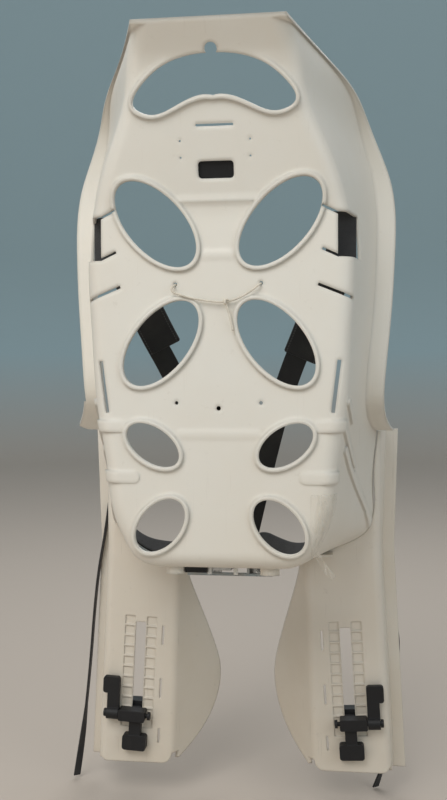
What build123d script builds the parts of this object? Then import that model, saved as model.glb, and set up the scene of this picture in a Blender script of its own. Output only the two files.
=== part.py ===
from build123d import *
from math import cos, radians, sin, tan
import os

os.makedirs("parts", exist_ok=True)

# Child bike seat, millimetres. X is across the seat, +Y is where the child looks, +Z is up along
# the back panel. Depths are drawn from the back panel's rear face. The finished pieces are moved so
# that the origin is the middle of the flat underside of the carrier bracket, which lies level when the
# seat is on a bicycle, so that the back panel then leans back by CARRIER_TILT.

# Shell: half outlines (half width, height) from the pan's flat to above the head, once in the plane
# of the back panel and once RIM_DEPTH further forward. Every other depth lies on the line between.
WALL = 3.5
FOLD_RADIUS = 19.0
RIM_DEPTH = 150.0
PANEL_SIDE = [(62, 44), (82, 46.5), (100, 56), (113, 82), (122, 126), (130, 180), (139, 235),
              (144, 320), (147, 390), (136, 470), (121, 525), (106, 580), (98, 620), (94, 660)]
RIM_SIDE = [(78, 28), (102, 30.5), (127, 40), (150, 62), (156.5, 112), (162, 170), (168, 225),
            (175, 315), (180, 400), (176, 490), (166, 560), (163, 600), (142, 635), (135, 670)]
REAR_REACH = -95.0
SHELL_FRONT = 238.0
FRONT_OVERRUN = 20.0
PAN_DROP = (PANEL_SIDE[0][1] - RIM_SIDE[0][1]) / RIM_DEPTH

# Side view of the shell as (depth, height): the back panel leans at the head and curls at the top.
PANEL_FOOT = -20.0
LEAN_START = (0, 440)
LEAN_END = (-40, 588)
CURL_END = (-90, 644)
LEAN_RADIUS = 70.0
RIM_LINE = [(SHELL_FRONT, 186), (172, 202), (131, 231), (133, 290), (149, 416), (156, 500),
            (139, 566), (64, 606), (-20, 620), (-72, 624)]
FLANGE = 22.0
HEAD_FLANGE = [12, 5, 3, 3]
EAR_PLAN = [(150, 112), (182, 112), (192, 140), (214, 196), (210, 238), (150, 238)]
EAR_ROUND = 14.0
EAR_TOP = 226.0

# Openings in the back panel. Ovals are (across, up, half length, half breadth, turn of the right one).
OVALS = [(69, 426, 58, 31, 47), (64, 295, 56, 30.5, -50), (74, 182, 33.5, 19.5, 34),
         (66.5, 92, 35, 22.5, -49)]
LIP_WIDTH = 4.5
LIP_HEIGHT = 3.5
PANEL_SPOTS = [(47.5, 360, 2.2), (47, 229, 2.0), (0, 223, 2.5)]
WINDOW_SPOTS = [(38, 31, 1.1), (38, 13.5, 1.1)]
MASK_EDGE = [(0, 47), (44, 40.5), (76, 19), (87, -3), (72, -12), (38, -3), (0, 5)]
MASK_HEIGHT = 551.0
NOTCH_RADIUS = 6.5
NOTCH_RISE = 51.0
STRAP_WINDOW = (39, 18.5, 4)
STRAP_WINDOW_HEIGHT = 482.0
SLIT = (41, 2.4, 1)
SLIT_HEIGHT = 527.0
SIDE_WINDOW = (49, 412)
SIDE_WINDOW_SPAN = (131, 50)
TONGUE_SLIT = (17, 3, 25)
HIP_SLIT = (44, 3.2, 22)
HIP_SLIT_PLACE = (130, 350)
EDGE_SLOT = (58, 4, 7)
EDGE_SLOT_PLACE = (129, 247)
BOSS = (54, 30, 11, 7)

# Ridges that stiffen the shell. Those on the panel are round bars sunk in the wall, as (height, half
# length). Rolls start on the panel, as (across, height), and turn round the fold. Ribs run between
# (depth, height) points of the side walls.
RIDGE = 2.6
RIDGE_RADIUS = 9.0
ROLL_BREADTH = 13.0
FOLD_ROLLS = [(110, 203), (96, 146)]
RIB_BREADTH = 9.0
PANEL_RIDGES = [(453, 40), (392, 14), (194, 42)]
SIDE_RIBS = [((17, 207), (50, 229)), ((17, 151), (100, 200)), ((38, 89), (176, 174)), ((104, 64), (219, 140)),
             ((182, 60), (219, 84))]

# Leg guards. Each section row is (height, inner fold, outer fold, outer wall's front edge).
GUARD_WALL = 4.0
GUARD_REAR = SHELL_FRONT - 6
GUARD_FRONT = GUARD_REAR + 58
GUARD_FOLD = 12.0
GUARD_SECTIONS = [(182, 84, 186, 197), (19, 86, 186, 192), (-280, 98.7, 202, 208)]
GUARD_CORNER = 14.0
INNER_WALL = (-55, 79)
BULGE = [(30, 0.1), (-13, 0.2), (-54, 0.42), (-126, 0.83), (-172, 1.0), (-236, 0.76), (-262, 0.42),
         (-280, 0.05)]
GUARD_FLANGE = 16.0
FLANGE_OVERHANG = 12.0
SEAT_CLEARANCE = 0.1
TAB = (46, 124, 40, 4)
TAB_SCREWS = [(63, 206), (63, 222)]

# Foot rest adjuster, drawn in the slot's own plane: outwards, up the slot and rearwards of the wall.
SLOT_FOOT = (146.8, -210)
SLOT_LEAN = 3.25
SLOT_WIDTH = 14.5
SLOT_SPAN = (-8.4, 127)
SLOT_ROUND = 2.0
LADDER_PITCH = 14.4
LADDER_COUNT = 11
LADDER_LOW = -15.0
LADDER_REACH = 22.0
LADDER_RUNG = 2.6
LADDER_DEPTH = 1.4
GUARD_SLITS = [(-31.5, 97, 124), (-31.5, 23, 50), (-32, -40, -20)]
GUARD_SLIT_WIDTH = 2.6
SLIDE_CLEARANCE = 0.4
HUB = (-14, 23, 7.5, 18)
HUB_ROUND = 2.5
STEM = (8, -28, 12)
TONGUE_HALF = 8.0
TONGUE_PROUD = 2.0
BLOCK = (16.5, -49, -28, 13)
BLOCK_ROUND = 4.0
PIN_RADIUS = 3.0
PIN_AXIS = 10.0
PIN_FIT = 0.05
PIN_HEAD = (5.5, 4)
PIN_INNER = -17.0
LEVER_BREADTH = 16.6
LEVER_BOSS = 8.2
LEVER_ARM = (36, 5.5, 12.5)
PADDLE = (28, 51, 23)
PADDLE_ROUND = 4.0
PLATE = (38, 76, 6)
PLATE_BACK = (20, 14, 6)
PLATE_ROUND = 24.0
PLATE_DROP = 14.0
TREADS = 6
TREAD_PITCH = 9.0

# Soft straps.
STRAP = 3.0
STRAP_GAP = 0.4
HARNESS_ROUTE = [(137, 48, 416), (97, 62, 322), (62, 92, 252), (38, 128, 165), (17, 160, 58.2)]
HARNESS_WIDTHS = [36, 38, 33, 31, 31]
YOKE_ROUTE = [(-6, 490), (0.2, 467), (5, 447), (8.5, 420), (10, 300), (14, 180), (34, 96), (90, 50),
              (144.5, 47)]
YOKE_WIDTH = 34.0
ANCHOR = (58, 34, 3)
BUCKLE = (46, 30, 18)
BUCKLE_ROUND = 4.0
BUCKLE_PLACE = (0, 160)
BUTTON = (18, 9, 7)
CROTCH = (30, 8)
BELT_REAR = 84.0
BELT_WIDTH = 30.0
BELT_TOP = 78.0
FOOT_STRAP_DEPTH = 10.0
FOOT_STRAP_LEFT = [(-196.5, 76), (-203, 30), (-213, -20), (-220, -80), (-226, -150), (-233, -215),
                   (-240, -270), (-249, -325)]
FOOT_STRAP_RIGHT = [(205, -60), (216, -100), (217, -135), (212, -200), (205, -262), (194, -305)]

# Carrier bracket and its hardware under the pan.
CARRIER_TILT = 12.0
CARRIER_MIDDLE = (143, 5)
BRACKET = (52, 94, 3)
CHANNEL = 24.0
CHANNEL_LIP = (7, 102, 186)
ROD_BORE = 5.1
ROD_TUBE = 7.2
ROD_SPACING = 38.0
WELD_GAP = 0.1
BOLTS = [(14.5, 122), (14.5, 176)]
BOLT = (3, 6, 3, 5)
TONGUE = (10, 24, 4)
PEG = (15, 30, 2.5, 9)
LOCK_BAR = (-42.6, -18, 12, 7)

# Tie string on the back of the panel, and the clear strip over the cracked corner.
STRING_RADIUS = 1.25
STRING_GAP = 0.15
STRING_LIFT = -(LIP_HEIGHT + STRING_RADIUS + STRING_GAP)
STRING_ROUTE = [(-53, 352), (-33, 345), (-11, 341), (9, 339), (27, 345), (41, 354)]
STRING_TAIL = [(10.4, 335), (14, 324), (17, 309)]
ARC_SHARE = 0.45
KNOT_RADIUS = 4.2
STRIP = (0.3, 1.5)
STRIP_BOX = ((101, 140), (-6, 20), (36, 128))


def outset(points, distances):
    """The points of an open line, each moved to its right by its own distance."""
    moved = []
    for i, ((x, z), distance) in enumerate(zip(points, distances)):
        x0, z0 = points[max(i - 1, 0)]
        x1, z1 = points[min(i + 1, len(points) - 1)]
        length = ((x1 - x0) ** 2 + (z1 - z0) ** 2) ** 0.5
        moved.append((x + distance * (z1 - z0) / length, z - distance * (x1 - x0) / length))
    return moved


def side_points(depth, grow):
    """Right half of the shell's outline at a depth, grown outwards by one distance or one a point."""
    share = depth / RIM_DEPTH
    line = [(a + (c - a) * share, b + (d - b) * share) for (a, b), (c, d) in zip(PANEL_SIDE, RIM_SIDE)]
    return outset(line, grow if isinstance(grow, list) else [grow] * len(line))


def tub(grow, rear_shift, front, fold):
    """A solid tub: the shell's outline through its depth, closed behind by the leaning back panel."""
    with BuildPart() as solid:
        for depth in (REAR_REACH, front):
            right = side_points(depth, grow)
            left = [(-x, z) for x, z in right]
            with BuildSketch(Plane.XZ.offset(-depth)):
                with BuildLine():
                    Spline(*right)
                    Spline(*left)
                    Line(right[0], left[0])
                    Line(right[-1], left[-1])
                make_face()
        loft()
        with BuildSketch(Plane.YZ):
            with BuildLine():
                back = FilletPolyline(
                    (rear_shift, PANEL_FOOT),
                    (LEAN_START[0] + rear_shift, LEAN_START[1]),
                    (LEAN_END[0] + rear_shift, LEAN_END[1]),
                    (CURL_END[0] + rear_shift, CURL_END[1]),
                    radius=LEAN_RADIUS,
                )
                Polyline(back @ 1, (front, (back @ 1).Y), (front, PANEL_FOOT), back @ 0)
            make_face()
        extrude(amount=2 * RIM_DEPTH, both=True, mode=Mode.INTERSECT)
        if fold:
            rear_faces = solid.faces().filter_by(lambda f: f.normal_at().Y < -0.7)
            sides = rear_faces.edges().filter_by(lambda e: abs(e.center().X) > FOLD_RADIUS)
            foot = rear_faces.edges().sort_by(Axis.Z)[0]
            fillet([*sides, foot], fold)
    return solid.part


def finish(block, name):
    """Labels a finished piece, moves it from the panel's datum to the bracket's middle and writes it."""
    piece = block.part.moved(Location((0, -CARRIER_MIDDLE[0], -CARRIER_MIDDLE[1])))
    piece.label = name
    export_step(piece, f"parts/{name}.step")


def lean_plane(height):
    """Plane on the rear face of the leaning head part, its Y axis up the slope, at a height."""
    slope = Vector(0, LEAN_END[0] - LEAN_START[0], LEAN_END[1] - LEAN_START[1]).normalized()
    depth = slope.Y / slope.Z * (height - LEAN_START[1])
    return Plane(origin=(0, depth, height), x_dir=(1, 0, 0), z_dir=Vector(1, 0, 0).cross(slope))


def capsule(start, end, breadth):
    """Adds a straight bar with round ends to the sketch."""
    a, b = Vector(*start), Vector(*end)
    middle = (a + b) * 0.5
    turn = Vector(1, 0).get_signed_angle(b - a)
    with Locations((middle.X, middle.Y)):
        SlotCenterToCenter((b - a).length, breadth, rotation=turn)


def pan_underside(depth):
    """Height of the pan's flat underside at a depth."""
    return PANEL_SIDE[0][1] - PAN_DROP * depth


def under_pan(across, depth):
    """Location on the pan's underside with its Z axis square to the pan, pointing up."""
    up = Vector(0, PAN_DROP, 1)
    return Location(Plane(origin=(across, depth, pan_underside(depth)), x_dir=(1, 0, 0), z_dir=up))


def mask_outline(grow):
    """Adds the goggle-shaped head opening to the sketch, grown by a lip's width."""
    right = outset(MASK_EDGE, [-grow] * len(MASK_EDGE))
    right[0], right[-1] = (0, MASK_EDGE[0][1] + grow), (0, MASK_EDGE[-1][1] - grow)
    with BuildLine() as edge:
        Spline(*right)
        Spline(*[(-x, z) for x, z in right])
    make_face(edge.edges())


outer = tub(0, 0, SHELL_FRONT, FOLD_RADIUS)
hollow = tub(-WALL, WALL, SHELL_FRONT + FRONT_OVERRUN, FOLD_RADIUS - WALL)
ridge_skin = tub(RIDGE, -RIDGE, SHELL_FRONT, FOLD_RADIUS + RIDGE)
lip_skin = tub(LIP_HEIGHT, -LIP_HEIGHT, SHELL_FRONT, FOLD_RADIUS + LIP_HEIGHT)
flange_widths = [FLANGE] * (len(RIM_SIDE) - len(HEAD_FLANGE)) + HEAD_FLANGE

with BuildPart() as ridges:
    for height, half_length in PANEL_RIDGES:
        depth = min(0, lean_plane(height).origin.Y) + RIDGE_RADIUS - RIDGE
        with Locations((0, depth, height)):
            Cylinder(RIDGE_RADIUS, 2 * half_length, rotation=(0, 90, 0))
        with Locations((-half_length, depth, height), (half_length, depth, height)):
            Sphere(RIDGE_RADIUS)

with BuildPart() as rolls:
    for inner, height in FOLD_ROLLS:
        for side in (-1, 1):
            with BuildSketch(Plane.XZ.offset(-FOLD_RADIUS)):
                capsule((side * inner, height), (side * RIM_DEPTH, height), ROLL_BREADTH)
            extrude(amount=2 * FOLD_RADIUS)
    for start, end in SIDE_RIBS:
        with BuildSketch(Plane.YZ.offset(-SHELL_FRONT)):
            capsule(start, end, RIB_BREADTH)
        extrude(amount=2 * SHELL_FRONT)
    add(ridge_skin, mode=Mode.INTERSECT)

with BuildPart() as flange_reach:
    with BuildSketch() as ears:
        with BuildLine():
            Polyline(*EAR_PLAN, close=True)
        make_face()
        fillet(ears.vertices().sort_by(Axis.X)[-2:], EAR_ROUND)
        mirror(about=Plane.YZ)
    extrude(amount=EAR_TOP)
    add(tub(flange_widths, 0, SHELL_FRONT, 0))

with BuildPart() as lips:
    for across, height, long, short, turn in OVALS:
        for side in (-1, 1):
            with BuildSketch(Plane.XZ.offset(2 * FOLD_RADIUS)):
                with Locations((side * across, height)):
                    Ellipse(long + LIP_WIDTH, short + LIP_WIDTH, rotation=side * turn)
            extrude(amount=-2 * FOLD_RADIUS - WALL / 2)
    add(lip_skin, mode=Mode.INTERSECT)

with BuildPart() as rim_flange:
    with BuildSketch(Plane.YZ):
        inset = outset(RIM_LINE, [-WALL] * len(RIM_LINE))
        with BuildLine():
            Spline(*RIM_LINE)
            Spline(*inset)
            Line(RIM_LINE[0], inset[0])
            Line(RIM_LINE[-1], inset[-1])
        make_face()
    extrude(amount=2 * RIM_DEPTH, both=True)
    add(flange_reach.part, mode=Mode.INTERSECT)

with BuildPart() as seat_shell:
    add(outer)
    with BuildSketch(Plane.YZ):
        with BuildLine():
            Spline(*RIM_LINE)
            Polyline(RIM_LINE[-1], (REAR_REACH, RIM_LINE[-1][1]), (REAR_REACH, PANEL_FOOT),
                     (SHELL_FRONT, PANEL_FOOT), RIM_LINE[0])
        make_face()
    extrude(amount=2 * RIM_DEPTH, both=True, mode=Mode.INTERSECT)
    add(rim_flange.part)
    add(ridges.part)
    add(rolls.part)
    add(lips.part)
    with BuildSketch(lean_plane(MASK_HEIGHT).offset(LIP_HEIGHT)):
        mask_outline(LIP_WIDTH)
    extrude(amount=-LIP_HEIGHT - WALL / 2)
    with Locations(*[under_pan(side * BOSS[0], BOSS[1]) for side in (-1, 1)]):
        Cylinder(BOSS[2], BOSS[3] + WALL / 2, align=(Align.CENTER, Align.CENTER, Align.MAX))
    add(hollow, mode=Mode.SUBTRACT)
    for across, height, long, short, turn in OVALS:
        for side in (-1, 1):
            with BuildSketch(Plane.XZ.offset(2 * FOLD_RADIUS)):
                with Locations((side * across, height)):
                    Ellipse(long, short, rotation=side * turn)
            extrude(amount=-4 * FOLD_RADIUS, mode=Mode.SUBTRACT)
    with BuildSketch(lean_plane(MASK_HEIGHT).offset(2 * FOLD_RADIUS)):
        mask_outline(0)
        with Locations((0, NOTCH_RISE)):
            Circle(NOTCH_RADIUS)
    extrude(amount=-4 * FOLD_RADIUS, mode=Mode.SUBTRACT)
    for height, (width, tall, corner) in ((STRAP_WINDOW_HEIGHT, STRAP_WINDOW), (SLIT_HEIGHT, SLIT)):
        with BuildSketch(lean_plane(height).offset(FOLD_RADIUS)):
            RectangleRounded(width, tall, corner)
        extrude(amount=-2 * FOLD_RADIUS, mode=Mode.SUBTRACT)
    with BuildSketch(lean_plane(STRAP_WINDOW_HEIGHT).offset(FOLD_RADIUS)):
        for across, rise, radius in WINDOW_SPOTS:
            with Locations((-across, rise), (across, rise)):
                Circle(radius)
    extrude(amount=-2 * FOLD_RADIUS, mode=Mode.SUBTRACT)
    for side in (-1, 1):
        with BuildSketch(Plane.XZ.offset(FOLD_RADIUS)):
            for across, height, radius in PANEL_SPOTS:
                with Locations((side * across, height)):
                    Circle(radius)
            slit_long, slit_wide, slit_turn = TONGUE_SLIT
            slit_back = Vector(-slit_long / 2 * cos(radians(slit_turn)), slit_long / 2 * sin(radians(slit_turn)))
            for rise in (-1, 1):
                slit_end = SIDE_WINDOW[1] + rise * (SIDE_WINDOW[0] - slit_wide) / 2
                with Locations((side * (SIDE_WINDOW_SPAN[0] + slit_back.X), slit_end + slit_back.Y)):
                    Rectangle(slit_long + slit_wide, slit_wide, rotation=-side * slit_turn)
            with Locations((side * HIP_SLIT_PLACE[0], HIP_SLIT_PLACE[1])):
                Rectangle(HIP_SLIT[0], HIP_SLIT[1], rotation=-side * HIP_SLIT[2])
            with Locations((side * EDGE_SLOT_PLACE[0], EDGE_SLOT_PLACE[1])):
                Rectangle(EDGE_SLOT[1], EDGE_SLOT[0], rotation=-side * EDGE_SLOT[2])
        extrude(amount=-FOLD_RADIUS - ROLL_BREADTH, mode=Mode.SUBTRACT)
        with BuildSketch(Plane.XZ.offset(FOLD_RADIUS)):
            with Locations((side * SIDE_WINDOW_SPAN[0], SIDE_WINDOW[1])):
                outwards = Align.MIN if side > 0 else Align.MAX
                Rectangle(SIDE_WINDOW_SPAN[0], SIDE_WINDOW[0], align=(outwards, Align.CENTER))
        extrude(amount=-FOLD_RADIUS - SIDE_WINDOW_SPAN[1], mode=Mode.SUBTRACT)
    with Locations(*[under_pan(side * x, y) for side in (-1, 1) for x, y in TAB_SCREWS + BOLTS]):
        Hole(BOLT[0] + PIN_FIT, depth=4 * WALL)
finish(seat_shell, "seat_shell")


def slot_plane(rearwards=0.0):
    """Rear face of the right guard's wall, Y axis up the slot, moved rearwards."""
    lean = radians(SLOT_LEAN)
    return Plane(origin=(SLOT_FOOT[0], GUARD_REAR - rearwards, SLOT_FOOT[1]),
                 x_dir=(cos(lean), 0, sin(lean)), z_dir=(0, -1, 0))


def pin_plane(outwards):
    """Plane square to the cross pin, its X axis rearwards and its Y axis up the slot."""
    face = slot_plane(PIN_AXIS)
    return Plane(origin=face.origin + face.x_dir * outwards, x_dir=face.z_dir, z_dir=face.x_dir * -1)


seat_space = tub(SEAT_CLEARANCE, -SEAT_CLEARANCE, SHELL_FRONT, 0)
leg_space = tub(SEAT_CLEARANCE, -SEAT_CLEARANCE, GUARD_FRONT + 2 * INNER_WALL[1], 0)

with BuildPart() as leg_guard_right:
    for height, inner_fold, outer_fold, outer_front in GUARD_SECTIONS:
        with BuildSketch(Plane.XY.offset(height)):
            with BuildLine():
                FilletPolyline((inner_fold + INNER_WALL[0], GUARD_REAR + INNER_WALL[1]),
                               (inner_fold, GUARD_REAR), (outer_fold, GUARD_REAR),
                               (outer_front, GUARD_FRONT), radius=GUARD_FOLD)
                offset(amount=GUARD_WALL, side=Side.LEFT)
            make_face()
    loft(ruled=True)
    for height, inner_fold, outer_fold, outer_front in GUARD_SECTIONS:
        with BuildSketch(Plane.XY.offset(height - (FLANGE_OVERHANG if height < 0 else 0))):
            with Locations((outer_front - GUARD_WALL, GUARD_FRONT)):
                Rectangle(GUARD_FLANGE + GUARD_WALL, GUARD_WALL, align=(Align.MIN, Align.MAX))
    loft(ruled=True)
    with BuildSketch(Plane.YZ):
        with BuildLine():
            bulge = Spline(*[(GUARD_REAR + share * INNER_WALL[1], z) for z, share in BULGE])
            Polyline(bulge @ 0, (GUARD_FRONT + INNER_WALL[1], BULGE[0][0]),
                     (GUARD_FRONT + INNER_WALL[1], BULGE[-1][0]), bulge @ 1)
        make_face()
    extrude(amount=GUARD_SECTIONS[-1][1] + GUARD_FOLD, mode=Mode.SUBTRACT)
    with BuildSketch(Plane.XZ.offset(-GUARD_REAR + FOLD_RADIUS)):
        low, inner, out = GUARD_SECTIONS[-1][:3]
        for corner, side in ((inner, 1), (out, -1)):
            with Locations((corner, low)):
                Rectangle(2 * GUARD_CORNER, 2 * GUARD_CORNER)
            with Locations((corner + side * GUARD_CORNER, low + GUARD_CORNER)):
                Circle(GUARD_CORNER, mode=Mode.SUBTRACT)
    extrude(amount=-FOLD_RADIUS - GUARD_FOLD, mode=Mode.SUBTRACT)
    add(leg_space, mode=Mode.SUBTRACT)
    with BuildSketch(Plane.YZ.offset(TAB[0])):
        with BuildLine():
            tab_rear, tab_front = GUARD_REAR - TAB[2], GUARD_REAR + GUARD_WALL
            rear_top, front_top = pan_underside(tab_rear), pan_underside(tab_front)
            Polyline((tab_rear, rear_top), (tab_front, front_top), (tab_front, front_top - TAB[3]),
                     (tab_rear, rear_top - TAB[3]), close=True)
        make_face()
    extrude(amount=TAB[1] - TAB[0])
    add(seat_space, mode=Mode.SUBTRACT)
    with Locations(*[under_pan(x, y) for x, y in TAB_SCREWS]):
        Hole(BOLT[0] + PIN_FIT, depth=4 * TAB[3])
    with BuildSketch(slot_plane()):
        with Locations((0, (SLOT_SPAN[0] + SLOT_SPAN[1]) / 2)):
            RectangleRounded(SLOT_WIDTH, SLOT_SPAN[1] - SLOT_SPAN[0], SLOT_ROUND)
        for across, low, high in GUARD_SLITS:
            with Locations((across, (low + high) / 2)):
                Rectangle(GUARD_SLIT_WIDTH, high - low)
    extrude(amount=-2 * GUARD_WALL, mode=Mode.SUBTRACT)
    with BuildSketch(slot_plane()):
        rung_inner = SLOT_WIDTH / 2 + LADDER_RUNG / 2
        for side in (-1, 1):
            for i in range(LADDER_COUNT):
                with Locations((side * (LADDER_REACH + rung_inner) / 2, LADDER_LOW + i * LADDER_PITCH)):
                    Rectangle(LADDER_REACH - rung_inner, LADDER_PITCH - LADDER_RUNG)
    extrude(amount=-LADDER_DEPTH, mode=Mode.SUBTRACT)

with BuildPart() as footrest_slider_right:
    hub_inner, hub_out, hub_half, hub_thick = HUB
    with BuildSketch(slot_plane(SLIDE_CLEARANCE)):
        with Locations(((hub_inner + hub_out) / 2, 0)):
            RectangleRounded(hub_out - hub_inner, 2 * hub_half, HUB_ROUND)
    extrude(amount=hub_thick - SLIDE_CLEARANCE)
    with BuildSketch(slot_plane(SLIDE_CLEARANCE)):
        with Locations((0, STEM[1] / 2)):
            Rectangle(2 * STEM[0], -STEM[1])
    extrude(amount=STEM[2] - SLIDE_CLEARANCE)
    with BuildSketch(slot_plane(SLIDE_CLEARANCE)):
        with Locations((0, (BLOCK[1] + BLOCK[2]) / 2)):
            RectangleRounded(2 * BLOCK[0], BLOCK[2] - BLOCK[1], BLOCK_ROUND)
    extrude(amount=BLOCK[3] - SLIDE_CLEARANCE)
    with BuildSketch(slot_plane(SLIDE_CLEARANCE)):
        RectangleRounded(SLOT_WIDTH - 2 * SLIDE_CLEARANCE, 2 * TONGUE_HALF, SLOT_ROUND)
    extrude(amount=-SLIDE_CLEARANCE - GUARD_WALL - TONGUE_PROUD)
    with BuildSketch(pin_plane(hub_out)):
        Circle(PIN_RADIUS + PIN_FIT)
    extrude(amount=hub_out - hub_inner, mode=Mode.SUBTRACT)

LEVER_INNER = HUB[1] + SLIDE_CLEARANCE
LEVER_OUTER = LEVER_INNER + LEVER_BREADTH

with BuildPart() as footrest_pin_right:
    pin_outer = LEVER_OUTER + SLIDE_CLEARANCE
    with BuildSketch(pin_plane(pin_outer)):
        Circle(PIN_RADIUS)
    extrude(amount=pin_outer - PIN_INNER)
    for end in (pin_outer + PIN_HEAD[1], PIN_INNER):
        with BuildSketch(pin_plane(end)):
            Circle(PIN_HEAD[0])
        extrude(amount=PIN_HEAD[1])
    fillet(footrest_pin_right.edges().filter_by(GeomType.CIRCLE).sort_by(Axis.X)[0], PIN_HEAD[1] / 3)
    fillet(footrest_pin_right.edges().filter_by(GeomType.CIRCLE).sort_by(Axis.X)[-1], PIN_HEAD[1] / 3)

with BuildPart() as footrest_lever_right:
    arm_top, arm_near, arm_far = LEVER_ARM
    with BuildSketch(pin_plane(LEVER_OUTER)):
        Circle(LEVER_BOSS)
        with Locations(((arm_near + arm_far) / 2 - PIN_AXIS, arm_top / 2)):
            Rectangle(arm_far - arm_near, arm_top)
        Circle(PIN_RADIUS + PIN_FIT, mode=Mode.SUBTRACT)
    extrude(amount=LEVER_BREADTH)
    with BuildSketch(slot_plane(arm_near)):
        with Locations((LEVER_INNER + PADDLE[2] / 2, (PADDLE[0] + PADDLE[1]) / 2)):
            RectangleRounded(PADDLE[2], PADDLE[1] - PADDLE[0], PADDLE_ROUND)
    extrude(amount=arm_far - arm_near)

with BuildPart() as foot_plate_right:
    plate_rear = GUARD_WALL + TONGUE_PROUD
    with BuildSketch(slot_plane(-plate_rear)):
        Rectangle(2 * PLATE_BACK[0], 2 * PLATE_BACK[1])
    extrude(amount=-PLATE_BACK[2])
    rest_face = slot_plane()
    floor_plane = Plane(origin=rest_face.origin - rest_face.y_dir * PLATE_DROP,
                        x_dir=rest_face.x_dir, z_dir=rest_face.y_dir)
    with BuildSketch(floor_plane) as sole:
        with Locations((0, plate_rear + PLATE[1] / 2)):
            Rectangle(2 * PLATE[0], PLATE[1])
        fillet(sole.vertices().sort_by(Axis.Y)[-2:], PLATE_ROUND)
    extrude(amount=PLATE[2])
    with BuildSketch(floor_plane.offset(PLATE[2])):
        for i in range(TREADS):
            with Locations((0, plate_rear + PLATE_BACK[2] + (i + 1) * TREAD_PITCH)):
                Rectangle(2 * PLATE[0] - PLATE_ROUND, TREAD_PITCH / 3)
    extrude(amount=TREAD_PITCH / 6)


def band(points, thickness):
    """Adds a strip of even thickness that follows a line of points to the sketch."""
    other = outset(points, [-thickness] * len(points))
    with BuildLine() as strip:
        Spline(*points)
        Spline(*other)
        Line(points[0], other[0])
        Line(points[-1], other[-1])
    make_face(strip.edges())


with BuildPart() as harness_strap_right:
    route = [Vector(*point) for point in HARNESS_ROUTE]
    for i, (point, width) in enumerate(zip(route, HARNESS_WIDTHS)):
        along = (route[min(i + 1, len(route) - 1)] - route[max(i - 1, 0)]).normalized()
        with BuildSketch(Plane(origin=point, x_dir=along.cross(Vector(0, 1, 0)), z_dir=along)):
            Rectangle(width, STRAP)
    loft()

right_pieces = {"leg_guard": leg_guard_right, "footrest_slider": footrest_slider_right,
                "footrest_pin": footrest_pin_right, "footrest_lever": footrest_lever_right,
                "foot_plate": foot_plate_right, "harness_strap": harness_strap_right}
for name, right_piece in right_pieces.items():
    finish(right_piece, f"{name}_right")
    with BuildPart() as left_piece:
        mirror(right_piece.part, about=Plane.YZ)
    finish(left_piece, f"{name}_left")

with BuildPart() as harness_yoke:
    with BuildSketch(Plane.YZ):
        band(YOKE_ROUTE, STRAP)
    extrude(amount=YOKE_WIDTH / 2, both=True)
finish(harness_yoke, "harness_yoke")

with BuildPart() as harness_anchor:
    with BuildSketch(lean_plane(STRAP_WINDOW_HEIGHT).offset(-WALL - STRAP_GAP)):
        RectangleRounded(ANCHOR[0], ANCHOR[1], ANCHOR[2])
    extrude(amount=-ANCHOR[2])
finish(harness_anchor, "harness_anchor")

buckle_foot = pan_underside(BUCKLE_PLACE[1]) + WALL + CROTCH[1]
with BuildPart() as buckle_housing:
    with Locations((BUCKLE_PLACE[0], BUCKLE_PLACE[1], buckle_foot)):
        Box(*BUCKLE, align=(Align.CENTER, Align.CENTER, Align.MIN))
    fillet(buckle_housing.edges(), BUCKLE_ROUND)
    with Locations((BUCKLE_PLACE[0], BUCKLE_PLACE[1] + BUCKLE[1] / 2, buckle_foot + BUCKLE[2] / 2)):
        Box(BUTTON[0] + 2 * STRAP_GAP, 2 * BUTTON[2], BUTTON[1] + 2 * STRAP_GAP, mode=Mode.SUBTRACT)
finish(buckle_housing, "buckle_housing")

with BuildPart() as buckle_button:
    with Locations((BUCKLE_PLACE[0], BUCKLE_PLACE[1] + BUCKLE[1] / 2, buckle_foot + BUCKLE[2] / 2)):
        Box(BUTTON[0], BUTTON[2], BUTTON[1])
    fillet(buckle_button.faces().sort_by(Axis.Y)[-1].edges(), BUTTON[2] / 5)
finish(buckle_button, "buckle_button")

with BuildPart() as crotch_strap:
    with Locations((BUCKLE_PLACE[0], BUCKLE_PLACE[1], buckle_foot - STRAP_GAP)):
        Box(CROTCH[0], STRAP, CROTCH[1] - 2 * STRAP_GAP, align=(Align.CENTER, Align.CENTER, Align.MAX))
finish(crotch_strap, "crotch_strap")

with BuildPart() as lap_belt:
    with Locations((0, BELT_REAR, 0)):
        Box(2 * SHELL_FRONT, BELT_WIDTH, BELT_TOP, align=(Align.CENTER, Align.MIN, Align.MIN))
    belt_front = SHELL_FRONT + FRONT_OVERRUN
    add(tub(-WALL - STRAP_GAP, WALL, belt_front, 0), mode=Mode.INTERSECT)
    add(tub(-WALL - STRAP_GAP - STRAP, WALL, belt_front, 0), mode=Mode.SUBTRACT)
finish(lap_belt, "lap_belt")

foot_straps = {"foot_strap_left": (FOOT_STRAP_LEFT, GUARD_FRONT - GUARD_WALL - STRAP_GAP - FOOT_STRAP_DEPTH),
               "foot_strap_right": (FOOT_STRAP_RIGHT, GUARD_FRONT + STRAP_GAP)}
for name, (points, depth) in foot_straps.items():
    with BuildPart() as foot_strap:
        with BuildSketch(Plane.XZ.offset(-depth)):
            band(points, STRAP)
        extrude(amount=-FOOT_STRAP_DEPTH)
    finish(foot_strap, name)


def pan_wedge(rear, front, thickness):
    """Adds the side view of a plate under the pan, its top on the pan's slope."""
    rear_top, front_top = pan_underside(rear), pan_underside(front)
    with BuildLine() as edge:
        Polyline((rear, rear_top), (front, front_top), (front, front_top - thickness),
                 (rear, rear_top - thickness), close=True)
    make_face(edge.edges())


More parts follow.
